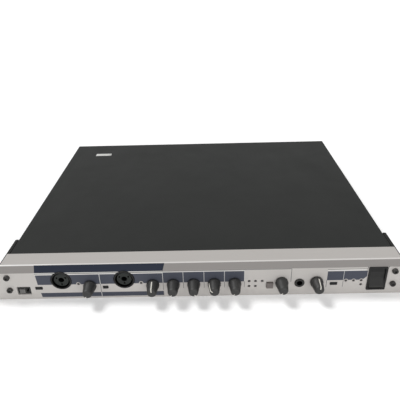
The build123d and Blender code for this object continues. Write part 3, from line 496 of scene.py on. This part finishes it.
def knob_profile(body_radius, tip_radius, back, skirt, nose, round_by, steps=12):
    """Knob outline from the skirt's back to the nose's middle: straight taper, then a quarter
    ellipse whose radius falls by round_by as its depth reaches the nose."""
    turn = np.linspace(0, math.pi / 2, steps)
    arc = np.stack([tip_radius - round_by + round_by * np.cos(turn),
                    nose + round_by * (1 - np.sin(turn))], -1)
    lip = 0.35 * MM
    head = np.array([[0.0, back], [body_radius - lip, back], [body_radius, back - lip],
                     [body_radius, back - skirt + lip], [body_radius - lip, back - skirt]])
    return np.vstack([head, arc, [[0.0, nose]]])


# ---- settings --------------------------------------------------------------------------------
class RackSettings(bpy.types.PropertyGroup):
    """Colours and sizes a user would change."""
    silver: bpy.props.FloatVectorProperty(name="Fascia silver", description="Paint of the fascia",
                                          default=srgb(216, 212, 208)[:3], min=0, max=1, size=3,
                                          subtype="COLOR")
    cover: bpy.props.FloatVectorProperty(name="Cover", description="Powder coat of the top cover",
                                         default=srgb(42, 43, 42)[:3], min=0, max=1, size=3,
                                         subtype="COLOR")
    knob: bpy.props.FloatVectorProperty(name="Knob", description="Plastic of the control knobs",
                                        default=srgb(31, 31, 30)[:3], min=0, max=1, size=3,
                                        subtype="COLOR")
    pointer_width: bpy.props.FloatProperty(name="Pointer width", description="Width of a knob's white line",
                                           default=1.15 * MM, unit="LENGTH")
    knob_segments: bpy.props.IntProperty(name="Knob segments", description="Facets round a knob",
                                         default=96, min=24, max=256)
    lens: bpy.props.FloatProperty(name="Focal length", description="Camera focal length in millimetres",
                                  default=40.95)


class RackOperator:
    """What the rack's operators share."""
    bl_options = {"REGISTER", "UNDO"}

    @property
    def sizes(self):
        return bpy.context.scene.rack_settings


class RACK_OT_finishes(RackOperator, bpy.types.Operator):
    """Give every carried-over part its finish"""
    bl_idname = "rack.finishes"
    bl_label = "Part finishes"

    def execute(self, context):
        finishes = make_finishes(self.sizes)
        families = sorted(finishes, key=len, reverse=True)
        for name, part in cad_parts.items():
            family = next((f for f in families if name.startswith(f)), None)
            if family is None:
                raise RuntimeError("no finish for " + name)
            part.data.materials.clear()
            part.data.materials.append(finishes[family])
        return {"FINISHED"}


class RACK_OT_knobs(RackOperator, bpy.types.Operator):
    """Make the knob caps and their white pointer lines"""
    bl_idname = "rack.knobs"
    bl_label = "Knobs"

    def execute(self, context):
        paint = moulded("pointer_white", (226, 223, 214), 0.45, 1800.0, 6, 0.1)
        plastic = bpy.data.materials["knob_plastic"]
        for number in range(1, KNOB_COUNT + 1):
            node = "knob_" + str(number)
            low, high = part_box(node)
            middle = centre(node)
            body_radius = (high.x - low.x) / 2
            tip_radius = body_radius * 0.746
            nose = low.y + POINTER_THICK     # leaves room for the pointer
            profile = knob_profile(body_radius, tip_radius, high.y, KNOB_SKIRT, nose, KNOB_NOSE)
            points, faces = turned(profile, middle, self.sizes.knob_segments)
            cap = make_piece("knob_cap_" + str(number), points, faces, plastic,
                             "knob_body_" + str(number))
            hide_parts(node)
            self.pointer(number, profile, middle, paint)
        return {"FINISHED"}

    def pointer(self, number, profile, middle, paint):
        """Ribbon that follows the knob's outline a hair above it: along is the outline's own
        length, across is a small turn either side of the pointer's angle."""
        body = profile[4:]
        walked = np.concatenate([[0.0], np.cumsum(np.linalg.norm(np.diff(body, axis=0), axis=1))])
        at = np.linspace(POINTER_START, walked[-1] - POINTER_END, 40)
        radius = np.interp(at, walked, body[:, 0]) + 0.05 * MM
        depth = np.interp(at, walked, body[:, 1])
        middle_angle = math.radians(REST_POINTERS[number - 1])
        across = np.linspace(-0.5, 0.5, 5) * self.sizes.pointer_width
        turn = middle_angle + across[None, :] / np.maximum(radius[:, None], 2.2 * MM)
        points = np.stack([middle.x + radius[:, None] * np.sin(turn), depth[:, None] + 0 * turn,
                           middle.z + radius[:, None] * np.cos(turn)], -1).reshape(-1, 3)
        ribbon = make_piece("pointer_" + str(number), points, grid_faces(40, 5, False), paint,
                            "knob_body_" + str(number))
        thicken = ribbon.modifiers.new("thickness", "SOLIDIFY")
        thicken.thickness = POINTER_THICK
        thicken.offset = 0.0


class RACK_OT_label_plate(RackOperator, bpy.types.Operator):
    """Lay the blank plate on the cover's left edge"""
    bl_idname = "rack.label_plate"
    bl_label = "Blank plate"

    def execute(self, context):
        s = Shader("plate_film")
        colour = s.blend(s.noise(180.0), srgb(214, 214, 211), srgb(202, 202, 198))
        film = s.finish(colour, s.noise(300.0) * 0.1 + 0.4, s.noise(900.0), 0.00003, 0.2)
        low = Vector((COVER_LOW.x + PLATE_FROM_SIDE, COVER_HIGH.y - PLATE_FROM_REAR, COVER_HIGH.z))
        across, along = np.meshgrid(np.linspace(0, 1, 7), np.linspace(0, 1, 5), indexing="ij")
        points = np.stack([low.x + across * PLATE_WIDTH, low.y + along * PLATE_DEPTH,
                           np.full_like(across, low.z)], -1).reshape(-1, 3)
        plate = make_piece("cover_plate", points, grid_faces(7, 5, False), film, "case")
        thicken = plate.modifiers.new("thickness", "SOLIDIFY")
        thicken.thickness = PLATE_THICK
        thicken.offset = 0.0
        return {"FINISHED"}


class RACK_OT_stage(RackOperator, bpy.types.Operator):
    """Set the floor, the lamps, the sky and the camera"""
    bl_idname = "rack.stage"
    bl_label = "Stage"

    def execute(self, context):
        self.floor()
        self.lamps()
        self.sky()
        self.camera()
        return {"FINISHED"}

    def floor(self):
        """Level white floor that keeps the object's shade; a little of its own glow, for camera
        and gloss rays only, brings its lit parts to plain white."""
        s = Shader("floor_white")
        matt = s.node("ShaderNodeBsdfDiffuse", None, {"Color": srgb(246, 246, 246)})
        path = s.tree.nodes.new("ShaderNodeLightPath")
        seen = Field(s, path.outputs["Is Camera Ray"]) | Field(s, path.outputs["Is Glossy Ray"])
        glow = s.node("ShaderNodeEmission", None, {"Color": (1, 1, 1, 1), "Strength": FLOOR_GLOW})
        lit = s.node("ShaderNodeAddShader", None, {0: matt, 1: glow})
        s.node_output(s.node("ShaderNodeMixShader", None, {0: seen, 1: matt, 2: lit}))
        mesh = bpy.data.meshes.new("floor")
        z, reach = PANEL_LOW.z, 6.0
        mesh.from_pydata([(-reach, -reach, z), (reach, -reach, z), (reach, reach, z), (-reach, reach, z)],
                         [], [(0, 1, 2, 3)])
        mesh.materials.append(s.material)
        floor = bpy.data.objects.new("floor", mesh)
        bpy.context.scene.collection.objects.link(floor)

    def lamps(self):
        """A broad soft key from the upper left rear and a faint fill from the front right."""
        for name, way, strength, spread in (("key_lamp", (0.6, -0.3, -1.0), KEY_STRENGTH, 20.0),
                                            ("fill_lamp", (-0.15, 1.0, -0.06), FILL_STRENGTH, 60.0)):
            data = bpy.data.lights.new(name, "SUN")
            data.energy = strength
            data.angle = math.radians(spread)
            lamp = bpy.data.objects.new(name, data)
            lamp.rotation_mode = "QUATERNION"
            lamp.rotation_quaternion = Vector(way).to_track_quat("-Z", "Y")
            bpy.context.scene.collection.objects.link(lamp)

    def sky(self):
        """Plain white to camera, gloss and glass; softer as a source of light."""
        world = bpy.data.worlds.new("studio")
        bpy.context.scene.world = world
        world.use_nodes = True
        tree = world.node_tree
        tree.nodes.clear()
        path = tree.nodes.new("ShaderNodeLightPath")
        seen = tree.nodes.new("ShaderNodeBackground")
        seen.inputs["Color"].default_value = (1, 1, 1, 1)
        seen.inputs["Strength"].default_value = 1.0
        light = tree.nodes.new("ShaderNodeBackground")
        light.inputs["Color"].default_value = (1, 1, 1, 1)
        light.inputs["Strength"].default_value = SKY_STRENGTH
        rays = None
        for kind in ("Is Camera Ray", "Is Glossy Ray", "Is Transmission Ray"):
            if rays is None:
                rays = path.outputs[kind]
                continue
            either = tree.nodes.new("ShaderNodeMath")
            either.operation = "MAXIMUM"
            tree.links.new(rays, either.inputs[0])
            tree.links.new(path.outputs[kind], either.inputs[1])
            rays = either.outputs[0]
        mix = tree.nodes.new("ShaderNodeMixShader")
        out = tree.nodes.new("ShaderNodeOutputWorld")
        tree.links.new(rays, mix.inputs[0])
        tree.links.new(light.outputs[0], mix.inputs[1])
        tree.links.new(seen.outputs[0], mix.inputs[2])
        tree.links.new(mix.outputs[0], out.inputs[0])

    def camera(self):
        """Camera from its place and three small turns: tilt down, roll and heading."""
        pitch, roll, yaw = 0.489375, -0.028266, -0.016489
        ahead = Vector((math.sin(yaw), math.cos(yaw), 0))
        right = Vector((math.cos(yaw), -math.sin(yaw), 0))
        up = Vector((0, 0, 1))
        view = ahead * math.cos(pitch) - up * math.sin(pitch)
        over = up * math.cos(pitch) + ahead * math.sin(pitch)
        side = right * math.cos(roll) + over * math.sin(roll)
        over = over * math.cos(roll) - right * math.sin(roll)
        data = bpy.data.cameras.new("camera")
        data.lens = self.sizes.lens
        data.sensor_width = 36.0
        data.clip_start = 0.01
        data.clip_end = 50.0
        camera = bpy.data.objects.new("camera", data)
        turn = Matrix((side, over, -view)).transposed().to_4x4()
        camera.matrix_world = Matrix.Translation((0.0092536, -0.407281, 0.315422)) @ turn
        bpy.context.scene.collection.objects.link(camera)
        bpy.context.scene.camera = camera


class RACK_PT_panel(bpy.types.Panel):
    """Buttons for the rack's pieces and stage"""
    bl_idname = "RACK_PT_panel"
    bl_label = "Rack interface"
    bl_space_type = "VIEW_3D"
    bl_region_type = "UI"
    bl_category = "Rack"

    def draw(self, context):
        column = self.layout.column()
        for name in ("silver", "cover", "knob", "pointer_width", "knob_segments", "lens"):
            column.prop(context.scene.rack_settings, name)
        for step in STEPS:
            column.operator(step.bl_idname)


STEPS = (RACK_OT_finishes, RACK_OT_knobs, RACK_OT_label_plate, RACK_OT_stage)
CLASSES = (RackSettings,) + STEPS + (RACK_PT_panel,)


def register():
    for item in CLASSES:
        bpy.utils.register_class(item)
    bpy.types.Scene.rack_settings = bpy.props.PointerProperty(type=RackSettings)


def unregister():
    del bpy.types.Scene.rack_settings
    for item in reversed(CLASSES):
        bpy.utils.unregister_class(item)


def main():
    register()
    bpy.context.scene.view_settings.view_transform = "Standard"
    bpy.ops.rack.finishes()
    bpy.ops.rack.knobs()
    bpy.ops.rack.label_plate()
    bpy.ops.rack.stage()


if __name__ == "__main__":
    main()
